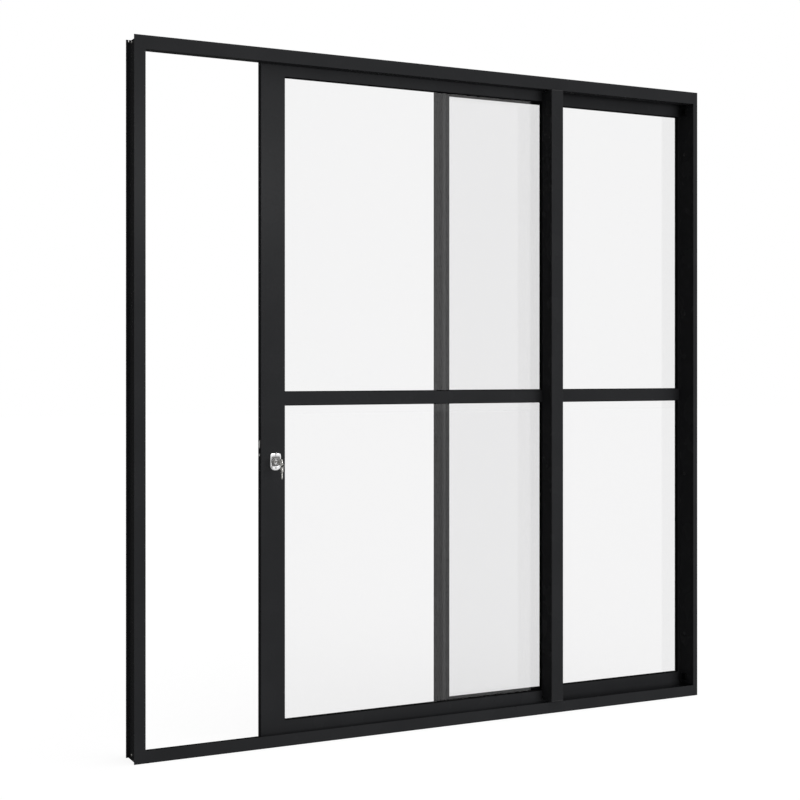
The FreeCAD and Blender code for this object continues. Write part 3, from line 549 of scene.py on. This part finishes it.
def lock_edge():
    """The faceplate in the stile's edge with its screws, the hook bolt and the button."""
    low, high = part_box("lock_faceplate")
    gap = 0.0003
    plate = add_block("lock_edge_plate", low, high)
    round_off(plate, edges_along((1, 0, 0)), radius=0.0065, segments=8)
    for node in ("hook_bolt", "slam_button"):
        inner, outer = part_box(node)
        opening = add_block("opening", (low[0] - PAST, inner[1] - gap, inner[2] - gap),
                            (high[0] + PAST, outer[1] + gap, outer[2] + gap))
        combine(plate, opening, "DIFFERENCE")
    round_off(plate, edges_within(lambda p: p.x < low[0] + NEAR, sharp=True),
              radius=0.0003, segments=2)
    fasten(plate, "sliding_panel", "black_aluminium", "lock_faceplate")

    low_bolt, high_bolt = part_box("hook_bolt")
    bolt = add_block("hook_bolt_nose", low_bolt, high_bolt)
    front, waist = low_bolt[0] + NEAR, low_bolt[2] + 0.01
    round_off(bolt, edges_along((0, 1, 0), lambda p: p.x < front and p.z > waist),
              radius=0.009, segments=10)
    round_off(bolt, edges_along((0, 1, 0), lambda p: p.x < front and p.z < waist),
              radius=0.0035, segments=6)
    round_off(bolt, edges_within(lambda p: p.x < front + 0.004, sharp=True),
              radius=0.0006, segments=3)
    fasten(bolt, "sliding_panel", "steel", "hook_bolt", coat=cast_zinc)

    low_button, high_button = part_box("slam_button")
    button = add_block("latch_button", low_button, high_button)
    round_off(button, edges_along((1, 0, 0)), radius=0.0014, segments=5)
    round_off(button, edges_within(lambda p: p.x < low_button[0] + NEAR, sharp=True),
              radius=0.0009, segments=4)
    fasten(button, "sliding_panel", "steel", "slam_button", coat=cast_zinc)

    head = screw_head("plate_screw", radius=0.0032, height=0.0009)
    middle = middle_of("lock_faceplate")
    for name, rise in (("upper", 0.078), ("lower", -0.078)):
        screw = copy_piece(head, f"{name}_edge_screw", (low[0], middle.y, middle.z + rise))
        fasten(screw, "sliding_panel", "black_aluminium")
    discard(head)


def keeper():
    """The keeper on the left jamb, with rounded corners, a bevelled slot and two screws."""
    low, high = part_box("strike_plate")
    middle = middle_of("strike_plate")
    bolt = middle_of("hook_bolt")
    half_wide, half_high = 0.007, 0.019
    plate = add_block("keeper_plate", low, high)
    round_off(plate, edges_along((1, 0, 0)), radius=0.004, segments=6)
    slot = add_block("keeper_slot", (low[0] - PAST, middle.y - half_wide, bolt.z - half_high),
                     (high[0] + PAST, middle.y + half_wide, bolt.z + half_high))
    round_off(slot, edges_along((1, 0, 0)), radius=0.002, segments=4)
    combine(plate, slot, "DIFFERENCE")
    round_off(plate, edges_within(lambda p: p.x > high[0] - NEAR, sharp=True),
              radius=0.0005, segments=2)
    fasten(plate, "frame", "steel", "strike_plate")

    head = screw_head("keeper_screw", radius=0.0038, height=0.0012)
    for name, rise in (("upper", 0.074), ("lower", -0.074)):
        screw = copy_piece(head, f"{name}_keeper_screw", (high[0], middle.y, middle.z + rise),
                           flip=(-1, 1, 1))
        fasten(screw, "frame", "steel")
    discard(head)


def buffers_and_caps():
    """The moulded stop buffers on the right jamb and the caps at the ends of the nose."""
    for place in ("lower", "upper"):
        node = f"{place}_stop_buffer"
        low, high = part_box(node)
        buffer = add_block(f"{place}_rubber_buffer", low, high)
        round_off(buffer, edges_along((1, 0, 0)), radius=0.004, segments=6)
        round_off(buffer, edges_within(lambda p: p.x < low[0] + NEAR), radius=0.0014, segments=4)
        press_in(buffer, faces_toward((-1, 0, 0), over=0.0001), border=0.0035, depth=0.0012)
        fasten(buffer, "frame", "black_rubber", node)
    for place, outward in (("top", 1), ("bottom", -1)):
        node = f"nose_{place}_cap"
        low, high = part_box(node)
        cap = add_block(f"{place}_end_cap", low, high)
        face = high[2] if outward > 0 else low[2]
        round_off(cap, edges_along((0, 0, 1), lambda p: p.y < low[1] + NEAR),
                  radius=0.003, segments=6)
        round_off(cap, edges_within(lambda p: abs(p.z - face) < NEAR), radius=0.0007, segments=3)
        press_in(cap, faces_toward((0, 0, outward), over=0.0005), border=0.003, depth=0.0008)
        fasten(cap, "sliding_panel", "black_plastic", node)


frame_screws_and_plugs()
lock_covers()
lock_barrel()
keys_and_ring()
lock_edge()
keeper()
buffers_and_caps()


def feed(tree, value, socket):
    """Give a socket a number, or link another socket to it."""
    if isinstance(value, (int, float)):
        socket.default_value = value
    else:
        tree.links.new(value, socket)


def reckon(tree, operation, first, second, clamp=False):
    """The result of a sum with two numbers or sockets."""
    step = tree.nodes.new("ShaderNodeMath")
    step.operation = operation
    step.use_clamp = clamp
    feed(tree, first, step.inputs[0])
    feed(tree, second, step.inputs[1])
    return step.outputs[0]


def fall_off(tree, value, start, end, low, high):
    """A level that goes smoothly from low to high while a value goes from start to end."""
    fall = tree.nodes.new("ShaderNodeMapRange")
    fall.interpolation_type = "SMOOTHSTEP"
    fall.inputs["From Min"].default_value = start
    fall.inputs["From Max"].default_value = end
    fall.inputs["To Min"].default_value = low
    fall.inputs["To Max"].default_value = high
    tree.links.new(value, fall.inputs["Value"])
    return fall.outputs["Result"]


def seen_directly(tree):
    """One for what the camera sees, straight or through glass, and nothing after a reflection."""
    path = tree.nodes.new("ShaderNodeLightPath").outputs
    straight = reckon(tree, "MAXIMUM", path["Is Camera Ray"], path["Is Transmission Ray"], True)
    bounced = reckon(tree, "ADD", path["Glossy Depth"], path["Diffuse Depth"], True)
    return reckon(tree, "MULTIPLY", straight, reckon(tree, "SUBTRACT", 1.0, bounced, True), True)


def show(tree, otherwise, seen, output):
    """Send one shader to what the camera sees and another to all the rest."""
    choice = tree.nodes.new("ShaderNodeMixShader")
    tree.links.new(seen_directly(tree), choice.inputs["Fac"])
    tree.links.new(otherwise.outputs[0], choice.inputs[1])
    tree.links.new(seen.outputs[0], choice.inputs[2])
    tree.links.new(choice.outputs[0], output.inputs["Surface"])


def glowing_paint(tree, grey, strength):
    """Matt grey paint that also gives white light of a strength, a number or a socket."""
    paint = tree.nodes.new("ShaderNodeBsdfDiffuse")
    paint.inputs["Color"].default_value = (grey, grey, grey, 1)
    glow = tree.nodes.new("ShaderNodeEmission")
    feed(tree, strength, glow.inputs["Strength"])
    both = tree.nodes.new("ShaderNodeAddShader")
    tree.links.new(paint.outputs[0], both.inputs[0])
    tree.links.new(glow.outputs[0], both.inputs[1])
    return both


def floor_spill(tree):
    """The white floor's own light: full in front of the door, less to the left, little behind."""
    place = tree.nodes.new("ShaderNodeTexCoord")
    split = tree.nodes.new("ShaderNodeSeparateXYZ")
    tree.links.new(place.outputs["Object"], split.inputs[0])
    forward = fall_off(tree, split.outputs["Y"], start=0.02, end=-0.1, low=0.04, high=1.0)
    across = fall_off(tree, split.outputs["X"], start=-3.0, end=1.0, low=0.5, high=1.0)
    return reckon(tree, "MULTIPLY", forward, across)


def white_floor():
    """The white floor: its glow is white to the camera and keeps the door's shadow."""
    bpy.ops.object.select_all(action="DESELECT")
    bpy.ops.mesh.primitive_plane_add(size=60, location=(0, 0, -0.0005))
    floor = bpy.context.object
    floor.name = "studio_floor"
    material = bpy.data.materials.new("white_floor")
    material.use_nodes = True
    tree = material.node_tree
    tree.nodes.clear()
    output = tree.nodes.new("ShaderNodeOutputMaterial")
    path = tree.nodes.new("ShaderNodeLightPath")
    level = add_range(tree, path.outputs["Is Glossy Ray"], 0.42, 0.62)
    spill = glowing_paint(tree, 0.1, reckon(tree, "MULTIPLY", floor_spill(tree), level))
    seen = glowing_paint(tree, 0.3, 0.885)
    show(tree, spill, seen, output)
    floor.data.materials.append(material)


def white_studio():
    """The world: plain white to the camera, and a room that lights from the front right."""
    world = bpy.data.worlds.new("white_studio")
    bpy.context.scene.world = world
    world.use_nodes = True
    tree = world.node_tree
    tree.nodes.clear()
    output = tree.nodes.new("ShaderNodeOutputWorld")
    seen = tree.nodes.new("ShaderNodeBackground")
    room = tree.nodes.new("ShaderNodeBackground")
    for shader in (seen, room):
        shader.inputs["Color"].default_value = (1, 1, 1, 1)
    seen.inputs["Strength"].default_value = 1.0
    full = 0.82
    place = tree.nodes.new("ShaderNodeTexCoord")
    along = tree.nodes.new("ShaderNodeVectorMath")
    along.operation = "DOT_PRODUCT"
    along.inputs[1].default_value = (0.5, -0.85, 0.15)
    tree.links.new(place.outputs["Generated"], along.inputs[0])
    strength = fall_off(tree, along.outputs["Value"], start=-0.45, end=0.6,
                        low=0.06 * full, high=full)
    tree.links.new(strength, room.inputs["Strength"])
    show(tree, room, seen, output)


def light_group(name, pieces):
    """The pieces that a lamp lights, as a collection."""
    group = bpy.data.collections.new(name)
    for piece in pieces:
        group.objects.link(piece)
    return group


def soft_lamp(name, place, target, size, power, receivers):
    """A rectangular soft lamp aimed at a point, for one collection of pieces."""
    data = bpy.data.lights.new(name, "AREA")
    data.shape = "RECTANGLE"
    data.size, data.size_y = size
    data.energy = power
    lamp = bpy.data.objects.new(name, data)
    lamp.location = place
    lamp.rotation_euler = (Vector(target) - Vector(place)).to_track_quat("-Z", "Y").to_euler()
    lamp.visible_camera = lamp.visible_transmission = False
    lamp.light_linking.receiver_collection = receivers
    bpy.context.scene.collection.objects.link(lamp)
    return lamp


def studio_lamps(door, lock_metal):
    """One soft box that only shines in reflections, three that never do, and two lock cards."""
    upper = soft_lamp("upper_softbox", place=(0.47, -3.83, 2.21), target=(-0.8, 0, 1.67),
                      size=(1.1, 0.3), power=25.0, receivers=door)
    upper.visible_diffuse = False
    front = soft_lamp("front_softbox", place=(2.5, -7.6, 1.3), target=(0, 0, 1.05),
                      size=(4.0, 2.5), power=420, receivers=door)
    front.visible_glossy = False
    for name, place, power in (("rear_right_softbox", (2.4, 3.4, 2.6), 160),
                               ("rear_left_softbox", (-2.6, 3.6, 2.2), 38)):
        rear = soft_lamp(name, place, target=(0, 0, 1.0), size=(2.5, 1.5), power=power,
                         receivers=door)
        rear.visible_glossy = False
    lock = middle_of("front_escutcheon")
    soft_lamp("key_card", place=(-2.65, 2.1, 1.0), target=lock, size=(1.2, 1.2), power=36,
              receivers=lock_metal)
    soft_lamp("cover_card", place=(1.67, -4.5, 0.5), target=lock, size=(3.0, 2.0), power=7.5,
              receivers=lock_metal)


def camera():
    """The photograph's viewpoint."""
    data = bpy.data.cameras.new("viewpoint")
    data.lens = 65.33
    data.sensor_width = 36.0
    data.shift_y = -0.0392
    data.clip_start, data.clip_end = 0.05, 200
    viewpoint = bpy.data.objects.new("viewpoint", data)
    viewpoint.location = (-2.1756, -4.1276, 1.1383)
    viewpoint.rotation_euler = (math.radians(90), 0, math.radians(-26.41))
    bpy.context.scene.collection.objects.link(viewpoint)
    bpy.context.scene.camera = viewpoint


white_floor()
white_studio()
opaque = [thing for thing in bpy.context.scene.objects
          if thing.type == "MESH" and thing.name != "studio_floor"
          and not thing.name.endswith("_glass")]
bright = [bpy.data.objects[name] for name in (
    "front_lock_cover", "rear_lock_cover", "turning_plug", "door_key", "hanging_key",
    "split_ring", "hook_bolt_nose", "latch_button")]
studio_lamps(light_group("lit_by_lamps", opaque), light_group("bright_metal", bright))
camera()
bpy.context.scene.view_settings.view_transform = "Standard"
